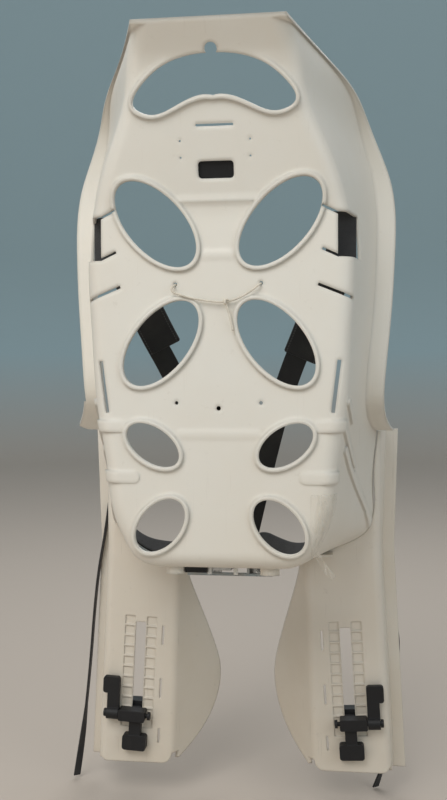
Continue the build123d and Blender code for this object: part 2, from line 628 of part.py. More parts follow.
tilt = radians(CARRIER_TILT)
carrier_plane = Plane(origin=(0, *CARRIER_MIDDLE), x_dir=(1, 0, 0), z_dir=(0, sin(tilt), cos(tilt)))
half, length, sheet = BRACKET
with BuildPart() as carrier_bracket:
    with BuildSketch(carrier_plane):
        Rectangle(2 * half, length)
    extrude(amount=sheet)
    with BuildSketch(carrier_plane):
        with Locations((CHANNEL - sheet / 2, 0), (sheet / 2 - CHANNEL, 0)):
            Rectangle(sheet, length)
    extrude(amount=length / 2)
    split(bisect_by=Plane(under_pan(0, CARRIER_MIDDLE[0])), keep=Keep.BOTTOM)
    for side in (-1, 1):
        with BuildSketch(Plane.YZ.offset(side * CHANNEL_LIP[0])):
            pan_wedge(CHANNEL_LIP[1], CHANNEL_LIP[2], sheet)
        extrude(amount=side * (CHANNEL - CHANNEL_LIP[0]))
    with BuildSketch(Plane.YZ):
        pan_wedge(TONGUE[1], CHANNEL_LIP[1] + sheet, TONGUE[2])
    extrude(amount=TONGUE[0], both=True)
    with Locations(*[under_pan(side * x, y) for side in (-1, 1) for x, y in BOLTS]):
        Hole(BOLT[0] + PIN_FIT, depth=2 * sheet)
finish(carrier_bracket, "carrier_bracket")

for name, side in (("rod_tube_left", -1), ("rod_tube_right", 1)):
    tube_rear = carrier_plane.from_local_coords((side * ROD_SPACING, -length / 2, sheet + WELD_GAP + ROD_TUBE))
    with BuildPart() as rod_tube:
        with BuildSketch(Plane(origin=tube_rear, z_dir=carrier_plane.y_dir)):
            Circle(ROD_TUBE)
            Circle(ROD_BORE, mode=Mode.SUBTRACT)
        extrude(amount=length)
    finish(rod_tube, name)

shank, head, head_tall, nut_tall = BOLT
for name, places, gripped in (("bracket_bolts", BOLTS, sheet), ("guard_bolts", TAB_SCREWS, TAB[3])):
    with BuildPart() as bolts:
        places_under = [under_pan(side * x, y) for side in (-1, 1) for x, y in places]
        with Locations(*[place * Location((0, 0, WALL)) for place in places_under]):
            Cylinder(head, head_tall, align=(Align.CENTER, Align.CENTER, Align.MIN))
            Cylinder(shank, WALL + gripped + nut_tall, align=(Align.CENTER, Align.CENTER, Align.MAX))
        with Locations(*[place * Location((0, 0, -gripped)) for place in places_under]):
            Cylinder(head, nut_tall, align=(Align.CENTER, Align.CENTER, Align.MAX))
    finish(bolts, name)

with BuildPart() as clamp_pegs:
    with Locations(*[under_pan(side * PEG[0], PEG[1]) for side in (-1, 1)]):
        Cylinder(PEG[2], PEG[3], align=(Align.CENTER, Align.CENTER, Align.MAX))
finish(clamp_pegs, "clamp_pegs")

with BuildPart() as lock_bar:
    with BuildSketch(Plane.YZ.offset(LOCK_BAR[0])):
        pan_wedge(PEG[1] - LOCK_BAR[2] / 2, PEG[1] + LOCK_BAR[2] / 2, LOCK_BAR[3])
    extrude(amount=LOCK_BAR[1] - LOCK_BAR[0])
finish(lock_bar, "lock_bar")


def cord_tube(points):
    """A round tube along straight runs, each corner's arc taking its share of the shorter run."""
    spots = [Vector(*point) for point in points]
    radii = []
    for before, corner, after in zip(spots, spots[1:], spots[2:]):
        arriving, leaving = corner - before, after - corner
        shorter = min(arriving.length, leaving.length)
        radii.append(ARC_SHARE * shorter / tan(radians(arriving.get_angle(leaving)) / 2))
    with BuildLine() as path:
        FilletPolyline(*spots, radius=radii)
    with BuildSketch(Plane(origin=path.line @ 0, z_dir=path.line % 0)) as section:
        Circle(STRING_RADIUS)
    return sweep(section.sketch, path=path.line, mode=Mode.PRIVATE)


string_spot = PANEL_SPOTS[0]
string_ends = [(side * string_spot[0], 2 * WALL, string_spot[1]) for side in (-1, 1)]
string_turns = [(side * string_spot[0], STRING_LIFT, string_spot[1]) for side in (-1, 1)]
string_run = [(x, STRING_LIFT, z) for x, z in STRING_ROUTE]
string_points = [string_ends[0], string_turns[0], *string_run, string_turns[1], string_ends[1]]
string_tube = cord_tube(string_points)
tail_tube = cord_tube([(x, STRING_LIFT, z) for x, z in STRING_TAIL])
knot_place = (STRING_ROUTE[3][0], STRING_LIFT, STRING_ROUTE[3][1])

with BuildPart() as tie_string:
    add(string_tube)
finish(tie_string, "tie_string")

with BuildPart() as tie_knot:
    with Locations(knot_place):
        Sphere(KNOT_RADIUS)
    add(string_tube, mode=Mode.SUBTRACT)
finish(tie_knot, "tie_knot")

with BuildPart() as tie_tail:
    add(tail_tube)
finish(tie_tail, "tie_tail")

with BuildPart() as corner_strip:
    (x0, x1), (y0, y1), (z0, z1) = STRIP_BOX
    with Locations(((x0 + x1) / 2, (y0 + y1) / 2, (z0 + z1) / 2)):
        Box(x1 - x0, y1 - y0, z1 - z0)
    add(tub(STRIP[1], -STRIP[1], SHELL_FRONT, FOLD_RADIUS + STRIP[1]), mode=Mode.INTERSECT)
    add(tub(STRIP[0], -STRIP[0], SHELL_FRONT, FOLD_RADIUS + STRIP[0]), mode=Mode.SUBTRACT)
finish(corner_strip, "corner_strip")
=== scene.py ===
import math

import bmesh
import bpy
from mathutils import Matrix, Vector, noise


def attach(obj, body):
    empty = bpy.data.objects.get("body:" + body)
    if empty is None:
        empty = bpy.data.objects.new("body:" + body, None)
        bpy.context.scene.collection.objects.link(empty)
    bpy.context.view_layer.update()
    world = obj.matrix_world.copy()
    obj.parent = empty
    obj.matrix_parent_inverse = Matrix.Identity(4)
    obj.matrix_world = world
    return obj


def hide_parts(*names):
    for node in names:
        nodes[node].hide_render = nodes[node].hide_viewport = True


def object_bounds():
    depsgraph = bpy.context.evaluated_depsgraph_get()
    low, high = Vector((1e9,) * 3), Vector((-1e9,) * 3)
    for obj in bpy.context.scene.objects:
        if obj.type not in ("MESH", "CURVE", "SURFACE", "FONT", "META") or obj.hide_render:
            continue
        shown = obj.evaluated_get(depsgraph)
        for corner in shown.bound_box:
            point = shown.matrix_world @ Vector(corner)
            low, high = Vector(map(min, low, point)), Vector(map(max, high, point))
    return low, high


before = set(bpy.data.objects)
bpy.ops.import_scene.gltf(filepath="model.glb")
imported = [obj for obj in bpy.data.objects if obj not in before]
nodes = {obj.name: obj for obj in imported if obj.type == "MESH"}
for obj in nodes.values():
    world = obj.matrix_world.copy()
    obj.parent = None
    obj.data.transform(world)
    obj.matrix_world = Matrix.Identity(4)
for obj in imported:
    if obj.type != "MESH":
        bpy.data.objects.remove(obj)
cad_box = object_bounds()

# Seat shell: one moulding in cream white polypropylene with the back panel, wings, pan and rim.
# It has gone unevenly warm with age, has painted shade that makes it darker and warmer low down, and
# has fine scuffs that catch the light. The carrier bracket and the leg guards are bolted to its pan.


def add_node(tree, kind, inputs=None, **settings):
    """Adds a shader node, sets its options, and links or fills its inputs by name or number."""
    made = tree.nodes.new(kind)
    for key, value in settings.items():
        setattr(made, key, value)
    for key, value in (inputs or {}).items():
        if isinstance(value, bpy.types.NodeSocket):
            tree.links.new(value, made.inputs[key])
        else:
            made.inputs[key].default_value = value
    return made


def shader_group(name, inputs):
    """Starts a node group that puts out a surface, and returns it with its named inputs."""
    group = bpy.data.node_groups.new(name, "ShaderNodeTree")
    for socket, value in inputs.items():
        kind = "NodeSocketColor" if isinstance(value, tuple) else "NodeSocketFloat"
        group.interface.new_socket(socket, in_out="INPUT", socket_type=kind).default_value = value
    group.interface.new_socket("Colour", in_out="OUTPUT", socket_type="NodeSocketColor")
    group.interface.new_socket("Roughness", in_out="OUTPUT", socket_type="NodeSocketFloat")
    group.interface.new_socket("Height", in_out="OUTPUT", socket_type="NodeSocketFloat")
    return group, group.nodes.new("NodeGroupInput").outputs


def ramp(tree, value, low, high, out_low=0.0, out_high=1.0):
    """A value stretched from one span to another, and clamped there."""
    return add_node(tree, "ShaderNodeMapRange", {
        "Value": value, "From Min": low, "From Max": high, "To Min": out_low, "To Max": out_high,
    }).outputs["Result"]


def mix_colour(tree, share, first, second):
    """Two colours mixed by a share, at the numbered sockets that the node keeps for colours."""
    return add_node(tree, "ShaderNodeMix", {0: share, 6: first, 7: second}, data_type="RGBA").outputs[2]


def math_node(tree, operation, first, second):
    """One arithmetic step."""
    return add_node(tree, "ShaderNodeMath", {0: first, 1: second}, operation=operation).outputs[0]


def noise_at(tree, place, scale, detail, **more):
    """The value of a noise texture at a place."""
    inputs = {"Vector": place, "Scale": scale, "Detail": detail, **more}
    return add_node(tree, "ShaderNodeTexNoise", inputs).outputs["Fac"]


def stretched_place(tree, place, turned, scale):
    """A place turned and stretched, for a pattern that runs one way."""
    inputs = {"Vector": place, "Rotation": turned, "Scale": scale}
    return add_node(tree, "ShaderNodeMapping", inputs).outputs["Vector"]


def moulded_wear_and_shade_group():
    """Aged patches, painted shade low down, grime specks, scuffs and the fine grain of a moulded plastic."""
    tree, given = shader_group("moulded_wear_and_shade", {
        "Colour": (0.8, 0.8, 0.8, 1), "Aged And Shaded": (0.7, 0.6, 0.5, 1), "Grime": (0.3, 0.28, 0.25, 1),
        "Ageing And Low Shade": 0.5, "Scuffs": 0.3, "Gloss": 0.4, "Grain Scale": 1500.0,
    })
    place = add_node(tree, "ShaderNodeTexCoord").outputs["Object"]
    patch = ramp(tree, noise_at(tree, place, 5.0, 4.0, Roughness=0.6), 0.35, 0.7)
    height = add_node(tree, "ShaderNodeSeparateXYZ", {"Vector": place}).outputs["Z"]
    # Painted shade: the colour is blended towards the aged colour low down, darker and warmer on the cream
    # plastics.
    low = ramp(tree, height, 0.25, -0.25)
    ageing_and_low_shade = math_node(tree, "MULTIPLY", math_node(tree, "ADD", patch, low), given["Ageing And Low Shade"])
    colour = mix_colour(tree, ageing_and_low_shade, given["Colour"], given["Aged And Shaded"])
    speck = ramp(tree, noise_at(tree, place, 75.0, 8.0, Roughness=0.7), 0.62, 0.82, 0.0, 0.3)
    colour = mix_colour(tree, speck, colour, given["Grime"])
    streaks = noise_at(tree, stretched_place(tree, place, (0.4, 0.2, 0.9), (260.0, 30.0, 14.0)), 1.0, 2.0)
    scuff = math_node(tree, "MULTIPLY", ramp(tree, streaks, 0.68, 0.74), given["Scuffs"])
    colour = mix_colour(tree, math_node(tree, "MULTIPLY", scuff, 0.5), colour, given["Grime"])
    grain = noise_at(tree, place, given["Grain Scale"], 2.0)
    rough = math_node(tree, "ADD", given["Gloss"], math_node(tree, "MULTIPLY", patch, 0.12))
    rough = math_node(tree, "ADD", rough, math_node(tree, "MULTIPLY", scuff, 0.4))
    bump = math_node(tree, "SUBTRACT", grain, math_node(tree, "MULTIPLY", scuff, 1.5))
    add_node(tree, "NodeGroupOutput", {"Colour": colour, "Roughness": rough, "Height": bump})
    return tree


moulded_wear_and_shade = moulded_wear_and_shade_group()


def surface_material(name, group, values, bump_strength, bump_distance, sockets=None, soft_edge=0.0):
    """A material with colour, roughness and bump from a group, and edges that shade as rounded."""
    material = bpy.data.materials.new(name)
    material.use_nodes = True
    tree = material.node_tree
    shader = tree.nodes["Principled BSDF"]
    placed = add_node(tree, "ShaderNodeGroup", node_tree=group)
    for key, value in values.items():
        placed.inputs[key].default_value = value
    bump = add_node(tree, "ShaderNodeBump", {
        "Height": placed.outputs["Height"], "Strength": bump_strength, "Distance": bump_distance})
    if soft_edge:
        rounded = add_node(tree, "ShaderNodeBevel", {"Radius": soft_edge}, samples=6)
        tree.links.new(rounded.outputs["Normal"], bump.inputs["Normal"])
    tree.links.new(placed.outputs["Colour"], shader.inputs["Base Color"])
    tree.links.new(placed.outputs["Roughness"], shader.inputs["Roughness"])
    tree.links.new(bump.outputs["Normal"], shader.inputs["Normal"])
    for key, value in (sockets or {}).items():
        shader.inputs[key].default_value = value
    return material


def dress(node_names, material):
    """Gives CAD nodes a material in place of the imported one."""
    for name in node_names:
        nodes[name].data.materials.clear()
        nodes[name].data.materials.append(material)


def put_in_scene(name, data):
    """A new object for a mesh, a lamp or the camera, linked to the scene."""
    made = bpy.data.objects.new(name, data)
    bpy.context.scene.collection.objects.link(made)
    return made


def finished_mesh(name, form, material):
    """Turns a bmesh into a named mesh of one material."""
    mesh = bpy.data.meshes.new(name)
    form.to_mesh(mesh)
    form.free()
    mesh.materials.append(material)
    return mesh


def shade_smooth(form):
    """Shades every face of a bmesh as part of one smooth surface."""
    for face in form.faces:
        face.smooth = True


TRANSLUCENT = {"Subsurface Weight": 0.06, "Subsurface Radius": (0.006, 0.005, 0.004)}
cream_plastic = surface_material(
    "cream_shell_plastic", moulded_wear_and_shade,
    {"Colour": (0.78, 0.755, 0.685, 1), "Aged And Shaded": (0.72, 0.66, 0.56, 1), "Grime": (0.42, 0.37, 0.30, 1),
     "Ageing And Low Shade": 0.45, "Scuffs": 0.12, "Gloss": 0.36},
    bump_strength=0.12, bump_distance=0.0004, sockets=TRANSLUCENT, soft_edge=0.007)

# The moulder blended the ridges softly into the panel, so the shell's own mesh is taken over with
# its ridges let down to a low swell. Heights and reaches are measured in the frame.
PANEL_REAR = -0.143
LEAN_FROM, LEAN_SLOPE = 0.435, 40.0 / 148.0
RIDGE_HEIGHTS = (0.448, 0.387, 0.189, 0.198, 0.141)
RIDGE_HALF = 0.0095
RIDGE_FOOT, LIP_STAND = 0.0002, 0.0029
RIDGE_KEPT = 0.35
FOLD_FROM, FOLD_TO = 0.108, 0.128
SHARP_TURN = 0.5
shell = bmesh.new()
shell.from_mesh(nodes["seat_shell"].data)
bmesh.ops.remove_doubles(shell, verts=shell.verts, dist=1e-6)
for corner in shell.verts:
    base = PANEL_REAR - max(0.0, corner.co.z - LEAN_FROM) * LEAN_SLOPE
    stands = base - corner.co.y
    on_ridge = any(abs(corner.co.z - height) < RIDGE_HALF for height in RIDGE_HEIGHTS)
    if on_ridge and RIDGE_FOOT < stands < LIP_STAND:
        round_fold = min(1.0, max(0.0, (abs(corner.co.x) - FOLD_FROM) / (FOLD_TO - FOLD_FROM)))
        corner.co.y = base - stands * (RIDGE_KEPT + (1.0 - RIDGE_KEPT) * round_fold)
shade_smooth(shell)
for edge in shell.edges:
    edge.smooth = edge.calc_face_angle(0.0) < SHARP_TURN
shell_mesh = finished_mesh("shell_moulding", shell, cream_plastic)
if "custom_normal" in shell_mesh.attributes:
    shell_mesh.attributes.remove(shell_mesh.attributes["custom_normal"])
shell_piece = put_in_scene("shell_moulding", shell_mesh)
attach(shell_piece, "seat")
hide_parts("seat_shell")

# Leg guards: two thinner mouldings of the same plastic, each with a slot, a ladder of rungs for
# the foot rest, slits and a wing round the inside of the leg. Feet have left them more scuffed.
# Its colours are a darker, warmer copy of the shell's: painted shade and painted warm light under the pan.
shaded_guard_plastic = surface_material(
    "cream_guard_plastic_shaded", moulded_wear_and_shade,
    {"Colour": (0.77, 0.73, 0.655, 1), "Aged And Shaded": (0.69, 0.62, 0.515, 1), "Grime": (0.36, 0.31, 0.25, 1),
     "Ageing And Low Shade": 0.5, "Scuffs": 0.3, "Gloss": 0.38},
    bump_strength=0.12, bump_distance=0.0004, sockets=TRANSLUCENT, soft_edge=0.003)
dress(["leg_guard_left", "leg_guard_right"], shaded_guard_plastic)

# Foot rests: black nylon sliders, cross pins, levers and soles, with the dull spark texture of
# the mould and edges that rubbing has polished a little.
black_nylon = surface_material(
    "black_nylon", moulded_wear_and_shade,
    {"Colour": (0.009, 0.009, 0.01, 1), "Aged And Shaded": (0.015, 0.015, 0.016, 1), "Grime": (0.06, 0.055, 0.05, 1),
     "Ageing And Low Shade": 0.4, "Scuffs": 0.3, "Gloss": 0.44, "Grain Scale": 2600.0},
    bump_strength=0.25, bump_distance=0.0003, sockets={"Specular IOR Level": 0.35}, soft_edge=0.0012)
for piece in ("footrest_slider", "footrest_pin", "footrest_lever", "foot_plate"):
    dress([f"{piece}_left", f"{piece}_right"], black_nylon)

# Carrier bracket: a folded channel of zinc-plated steel with two tubes for the carrier's rods,
# bolted up under the pan. The plating has gone dull and spotted.


def plated_steel_group():
    """Dull zinc with a faint crystal pattern and darker spots."""
    tree, given = shader_group("plated_steel", {"Bright": (0.6, 0.6, 0.6, 1), "Dull": (0.4, 0.4, 0.38, 1)})
    place = add_node(tree, "ShaderNodeTexCoord").outputs["Object"]
    crystals = add_node(tree, "ShaderNodeTexVoronoi", {"Vector": place, "Scale": 160.0})
    shade = add_node(tree, "ShaderNodeSeparateColor", {"Color": crystals.outputs["Color"]}).outputs[0]
    spots = noise_at(tree, place, 60.0, 6.0)
    spotted = math_node(tree, "MULTIPLY", ramp(tree, spots, 0.5, 0.75), 0.6)
    share = math_node(tree, "ADD", math_node(tree, "MULTIPLY", shade, 0.35), spotted)
    colour = mix_colour(tree, share, given["Bright"], given["Dull"])
    rough = math_node(tree, "ADD", math_node(tree, "MULTIPLY", share, 0.3), 0.3)
    add_node(tree, "NodeGroupOutput", {"Colour": colour, "Roughness": rough, "Height": spots})
    return tree


zinc_steel = surface_material(
    "zinc_steel", plated_steel_group(), {"Bright": (0.62, 0.62, 0.60, 1), "Dull": (0.36, 0.35, 0.33, 1)},
    bump_strength=0.15, bump_distance=0.0002, sockets={"Metallic": 1.0})
dress(["carrier_bracket", "rod_tube_left", "rod_tube_right", "bracket_bolts", "guard_bolts"], zinc_steel)

# Lock bar and pegs: the black bar and the two white pegs that catch the carrier under the pan's
# rear edge. The harness plate behind the strap window and the buckle are the same black nylon as
# the foot rests, and the buckle's button is red.
dress(["lock_bar", "harness_anchor", "buckle_housing"], black_nylon)
white_nylon = surface_material(
    "white_nylon", moulded_wear_and_shade,
    {"Colour": (0.82, 0.82, 0.80, 1), "Aged And Shaded": (0.72, 0.70, 0.64, 1), "Grime": (0.4, 0.38, 0.33, 1),
     "Ageing And Low Shade": 0.4, "Scuffs": 0.3, "Gloss": 0.33},
    bump_strength=0.12, bump_distance=0.0003)
dress(["clamp_pegs"], white_nylon)
red_nylon = surface_material(
    "red_nylon", moulded_wear_and_shade,
    {"Colour": (0.42, 0.03, 0.025, 1), "Aged And Shaded": (0.36, 0.05, 0.04, 1), "Grime": (0.12, 0.05, 0.04, 1),
     "Ageing And Low Shade": 0.4, "Scuffs": 0.3, "Gloss": 0.36},
    bump_strength=0.12, bump_distance=0.0003)
dress(["buckle_button"], red_nylon)

# Harness webbing: black polypropylene tape, woven flat in a fine herringbone and gone dusty. The
# yoke runs from the plate at the head down to the buckle, the lap belt lies across the pan, and a
# short loop of tape holds the buckle up.
ORIGIN_DEPTH, ORIGIN_HEIGHT = 143.0, 5.0


def from_panel(across, depth, height):
    """A place given in millimetres from the back panel's rear face, in the frame's metres."""
    return Vector((across, depth - ORIGIN_DEPTH, height - ORIGIN_HEIGHT)) / 1000.0


def smooth_run(points, resolution=8):
    """Points read along the NURBS spline whose control points are given."""
    curve = bpy.data.curves.new("run", "CURVE")
    curve.dimensions = "3D"
    spline = curve.splines.new("NURBS")
    spline.points.add(len(points) - 1)
    for spot, point in zip(spline.points, points):
        spot.co = (*point, 1)
    spline.order_u = 3
    spline.use_endpoint_u = True
    spline.resolution_u = resolution
    guide = bpy.data.objects.new("run", curve)
    mesh = bpy.data.meshes.new_from_object(guide)
    run = [corner.co.copy() for corner in mesh.vertices]
    bpy.data.objects.remove(guide)
    bpy.data.meshes.remove(mesh)
    bpy.data.curves.remove(curve)
    return run


def travelled_along(run):
    """How far each point of a run is from its start."""
    far = [0.0]
    for before, after in zip(run, run[1:]):
        far.append(far[-1] + (after - before).length)
    return far


def direction_at(run, index):
    """The way that a run goes at one of its points."""
    return (run[min(index + 1, len(run) - 1)] - run[max(index - 1, 0)]).normalized()


def laid_grid(name, columns, rows, place, material, closed=False):
    """A grid whose corners go where place(row, share across) says, with the UV that it gives."""
    grid = bmesh.new()
    bmesh.ops.create_grid(grid, x_segments=columns, y_segments=rows, size=0.5)
    flat = {}
    for corner in grid.verts:
        row = round((corner.co.y + 0.5) * rows)
        corner.co, flat[corner] = place(row, corner.co.x + 0.5)
    layer = grid.loops.layers.uv.new("UVMap")
    shade_smooth(grid)
    for face in grid.faces:
        for loop in face.loops:
            loop[layer].uv = flat[loop.vert]
    if closed:
        bmesh.ops.remove_doubles(grid, verts=grid.verts, dist=1e-6)
        ends = [edge for edge in grid.edges if edge.is_boundary]
        bmesh.ops.holes_fill(grid, edges=ends, sides=0)
        bmesh.ops.recalc_face_normals(grid, faces=grid.faces)
    return put_in_scene(name, finished_mesh(name, grid, material))


EDGE_ROUND = 0.25


def tape(name, run, width, thickness, material, across=None, shift=0.0, columns=6):
    """A flat tape along a run, its width along across (one way, or one a point) or flat to the panel."""
    far = travelled_along(run)
    ways = across if isinstance(across, list) else [across] * len(run)

    def place(row, share):
        way = ways[row] or direction_at(run, row).cross(Vector((0, 1, 0))).normalized()
        return run[row] + Vector(way) * (shift + width * (share - 0.5)), (width * share, far[row])

    piece = laid_grid(name, columns, len(run) - 1, place, material)
    wall = piece.modifiers.new("wall", "SOLIDIFY")
    wall.thickness = thickness
    wall.offset = 0.0
    edge = piece.modifiers.new("edge", "BEVEL")
    edge.width = thickness * EDGE_ROUND
    edge.segments = 2
    edge.limit_method = "ANGLE"
    return piece


CHEVRON_HALF, YARN_PITCH = 0.0032, 0.0017
YARN_SHADE = (0.004, 0.004, 0.004, 1)
STITCH_INSET, STITCHES_A_METRE = 0.0035, 300.0


def woven_tape_group():
    """A herringbone weave along the UV map with painted shade between the yarns, lint and dust, and a row of
    stitches near each edge.
    """
    tree, given = shader_group("woven_tape", {
        "Colour": (0.02, 0.02, 0.02, 1), "Dust": (0.1, 0.1, 0.1, 1), "Thread": (0.08, 0.08, 0.08, 1),
        "Width": 0.025, "Stitches": 0.0,
    })
    flat = add_node(tree, "ShaderNodeTexCoord").outputs["UV"]
    sides = add_node(tree, "ShaderNodeSeparateXYZ", {"Vector": flat})
    across, along = sides.outputs["X"], sides.outputs["Y"]
    zigzag = math_node(tree, "PINGPONG", across, CHEVRON_HALF)
    turns = math_node(tree, "MULTIPLY", math_node(tree, "ADD", along, zigzag), 2 * math.pi / YARN_PITCH)
    yarn = ramp(tree, math_node(tree, "SINE", turns, 0.0), -1.0, 1.0)
    place = add_node(tree, "ShaderNodeTexCoord").outputs["Object"]
    lint = noise_at(tree, place, 900.0, 3.0)
    patches = noise_at(tree, place, 38.0, 5.0)
    dusty = math_node(tree, "MULTIPLY", ramp(tree, patches, 0.42, 0.75), ramp(tree, lint, 0.3, 0.8))
    # Painted shade: the tape is darkened where the yarn height is low, in the grooves of the weave.
    shaded = mix_colour(tree, ramp(tree, yarn, 0.0, 1.0, 0.55, 0.0), given["Colour"], YARN_SHADE)
    colour = mix_colour(tree, dusty, shaded, given["Dust"])
    inner = math_node(tree, "MINIMUM", across, math_node(tree, "SUBTRACT", given["Width"], across))
    off_row = math_node(tree, "ABSOLUTE", math_node(tree, "SUBTRACT", inner, STITCH_INSET), 0.0)
    row = ramp(tree, off_row, 0.0007, 0.0004)
    counted = math_node(tree, "MULTIPLY", along, STITCHES_A_METRE)
    dash = ramp(tree, math_node(tree, "FRACT", counted, 0.0), 0.28, 0.36)
    stitch = math_node(tree, "MULTIPLY", math_node(tree, "MULTIPLY", row, dash), given["Stitches"])
    colour = mix_colour(tree, stitch, colour, given["Thread"])
    rough = math_node(tree, "ADD", math_node(tree, "MULTIPLY", lint, 0.25), 0.62)
    height = math_node(tree, "ADD", yarn, math_node(tree, "MULTIPLY", stitch, 1.5))
    add_node(tree, "NodeGroupOutput", {"Colour": colour, "Roughness": rough, "Height": height})
    return tree


woven_tape = woven_tape_group()


def webbing_material(name, width, stitches=0.0):
    """Black webbing of one width, with or without stitched edges."""
    return surface_material(
        name, woven_tape,
        {"Colour": (0.017, 0.017, 0.019, 1), "Dust": (0.055, 0.052, 0.048, 1),
         "Thread": (0.075, 0.075, 0.078, 1), "Width": width, "Stitches": stitches},
        bump_strength=0.5, bump_distance=0.0004, sockets={"Sheen Weight": 0.15, "Sheen Roughness": 0.5})


def fix_to_seat(piece, slot, *cad_nodes):
    """Lets a piece ride on the seat in place of its CAD solids, which it hides."""
    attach(piece, "seat")
    if cad_nodes:
        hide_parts(*cad_nodes)


ACROSS_SEAT, UPRIGHT = (1, 0, 0), (0, 0, 1)
TAPE_THICK = 0.0022
YOKE_WIDTH = 0.034
yoke_webbing = webbing_material("yoke_webbing", YOKE_WIDTH)
yoke_run = smooth_run([from_panel(0, depth, height) for depth, height in (
    (-5, 490), (1.7, 467), (6.5, 447), (10, 420), (11.5, 300), (15.5, 180), (35, 97), (90, 51.5),
    (144.5, 48.5))])
yoke = tape("harness_yoke_tape", yoke_run, YOKE_WIDTH, TAPE_THICK, yoke_webbing, ACROSS_SEAT)
fix_to_seat(yoke, "webbing", "harness_yoke")

# The belt passes under the yoke, rises in a slack fold beside it and flares up the pan's two corners.
BELT_WIDTH = 0.030
BELT_DEPTH = 99
BELT_HALF_SPAN = 0.133
FLARE_OUT, FLARE_FORWARD, FLARE_UP = 0.3, 0.9, 0.36
belt_webbing = webbing_material("belt_webbing", BELT_WIDTH)
belt_run = smooth_run([from_panel(across, BELT_DEPTH, height) for across, height in (
    (-131, 79), (-123, 69), (-112, 58), (-97, 50), (-76, 46.5), (-45, 45), (-20, 43.5), (0, 43.5),
    (20, 44), (30, 58), (42, 61), (56, 54), (76, 46.5), (97, 50), (112, 58), (123, 69), (131, 79))])
belt_flare = [Vector((FLARE_OUT * spot.x / BELT_HALF_SPAN, FLARE_FORWARD, FLARE_UP)).normalized()
              for spot in belt_run]
belt = tape("lap_belt_tape", belt_run, BELT_WIDTH, TAPE_THICK, belt_webbing, belt_flare)
fix_to_seat(belt, "webbing", "lap_belt")

LOOP_DEPTH, LOOP_FOOT = 160, 31.2
LOOP_STEP, LOOP_ROWS = 0.9, 8
crotch_run = [from_panel(0, LOOP_DEPTH, LOOP_FOOT + LOOP_STEP * step) for step in range(LOOP_ROWS)]
crotch = tape("crotch_loop_tape", crotch_run, BELT_WIDTH, TAPE_THICK, belt_webbing, ACROSS_SEAT)
fix_to_seat(crotch, "webbing", "crotch_strap")

# Shoulder straps: a broad band lies behind each side window, and from it webbing runs down to the
# buckle under a flat foam pad in black cloth, stitched along its edges. The pads hang unevenly, so
# that the left one ends higher than the right one.
STRAP_WIDTH = 0.026
STRAP_RESOLUTION = 14
PAD_WIDTH = 0.041
PAD_THICK = 0.0062
PAD_EDGE_ROUND = 0.45
PAD_TOP = 396
BAND_WIDTH = 0.060
strap_webbing = webbing_material("shoulder_webbing", STRAP_WIDTH)
pad_cloth = webbing_material("shoulder_pad_cloth", PAD_WIDTH, 1.0)
band_webbing = webbing_material("window_webbing", BAND_WIDTH)
window_band = [(124, 30, 411), (131, 34, 411), (141, 41, 412), (151, 50, 412)]
strap_routes = {
    "left": [(-137, 48, 416), (-97, 62, 322), (-62, 92, 252), (-38, 128, 165), (-17, 160, 60)],
    "right": [(137, 48, 416), (101, 62, 322), (70, 92, 252), (44, 128, 165), (18, 160, 60)],
}
pad_feet = {"left": (286, 0.0075), "right": (278, 0.004)}
for side, sign in (("left", -1), ("right", 1)):
    pad_foot, pad_shift = pad_feet[side]
    run = smooth_run([from_panel(*place) for place in strap_routes[side]], STRAP_RESOLUTION)
    strap = tape(f"shoulder_strap_{side}", run, STRAP_WIDTH, TAPE_THICK, strap_webbing)
    fix_to_seat(strap, "webbing", f"harness_strap_{side}")
    pad_low, pad_high = from_panel(0, 0, pad_foot).z, from_panel(0, 0, PAD_TOP).z
    pad_run = [spot for spot in run if pad_low < spot.z < pad_high]
    pad = tape(f"shoulder_pad_{side}", pad_run, PAD_WIDTH, PAD_THICK, pad_cloth, shift=pad_shift)
    pad.modifiers["edge"].width = PAD_THICK * PAD_EDGE_ROUND
    pad.modifiers["edge"].segments = 4
    fix_to_seat(pad, "webbing")
    band_run = smooth_run([from_panel(sign * across, depth, height) for across, depth, height in window_band])
    band = tape(f"window_band_{side}", band_run, BAND_WIDTH, TAPE_THICK, band_webbing, UPRIGHT)
    fix_to_seat(band, "webbing")

# Foot straps: soft black straps that have come out of the soles and hang loose along the outer
# flange of each guard, seen on edge, until their ends twist a little towards the rear.
FOOT_STRAP_WIDTH = 0.010
FOOT_STRAP_THICK = 0.0024
TWIST_FROM = 0.75
TWIST_ACROSS, TWIST_BACK = 0.9, 0.5
foot_webbing = webbing_material("foot_strap_webbing", FOOT_STRAP_WIDTH)
foot_strap_routes = {
    "left": (280.6, [(-195, 76), (-201.5, 30), (-211.5, -20), (-218.5, -80), (-224.5, -150),
                     (-231.5, -215), (-238.5, -270), (-247.5, -325)]),
    "right": (295.4, [(203.5, -60), (214.5, -100), (215.5, -135), (210.5, -200), (203.5, -262),
                      (192.5, -300), (183, -327)]),
}
for side, (depth, route) in foot_strap_routes.items():
    run = smooth_run([from_panel(across, depth, height) for across, height in route])
    twist = [max(0.0, (index / len(run) - TWIST_FROM) / (1.0 - TWIST_FROM)) for index in range(len(run))]
    turned = [Vector((TWIST_ACROSS * share, 1.0 - TWIST_BACK * share, 0)).normalized() for share in twist]
    strap = tape(f"foot_strap_tape_{side}", run, FOOT_STRAP_WIDTH, FOOT_STRAP_THICK, foot_webbing, turned)
    fix_to_seat(strap, "foot_strap", f"foot_strap_{side}")

# Tie string: a pale three-strand cotton string threaded through two pin holes in the panel, sagging
# below them, knotted near the middle with one loose end. It has gone grey and a little furry.
STRING_RADIUS = 0.00125
STRING_PITCH = 0.009
STRING_DEPTH = -4.9
STRING_SIDES, STRANDS = 18, 3
STRAND_CORE, STRAND_SWELL = 0.93, 0.1


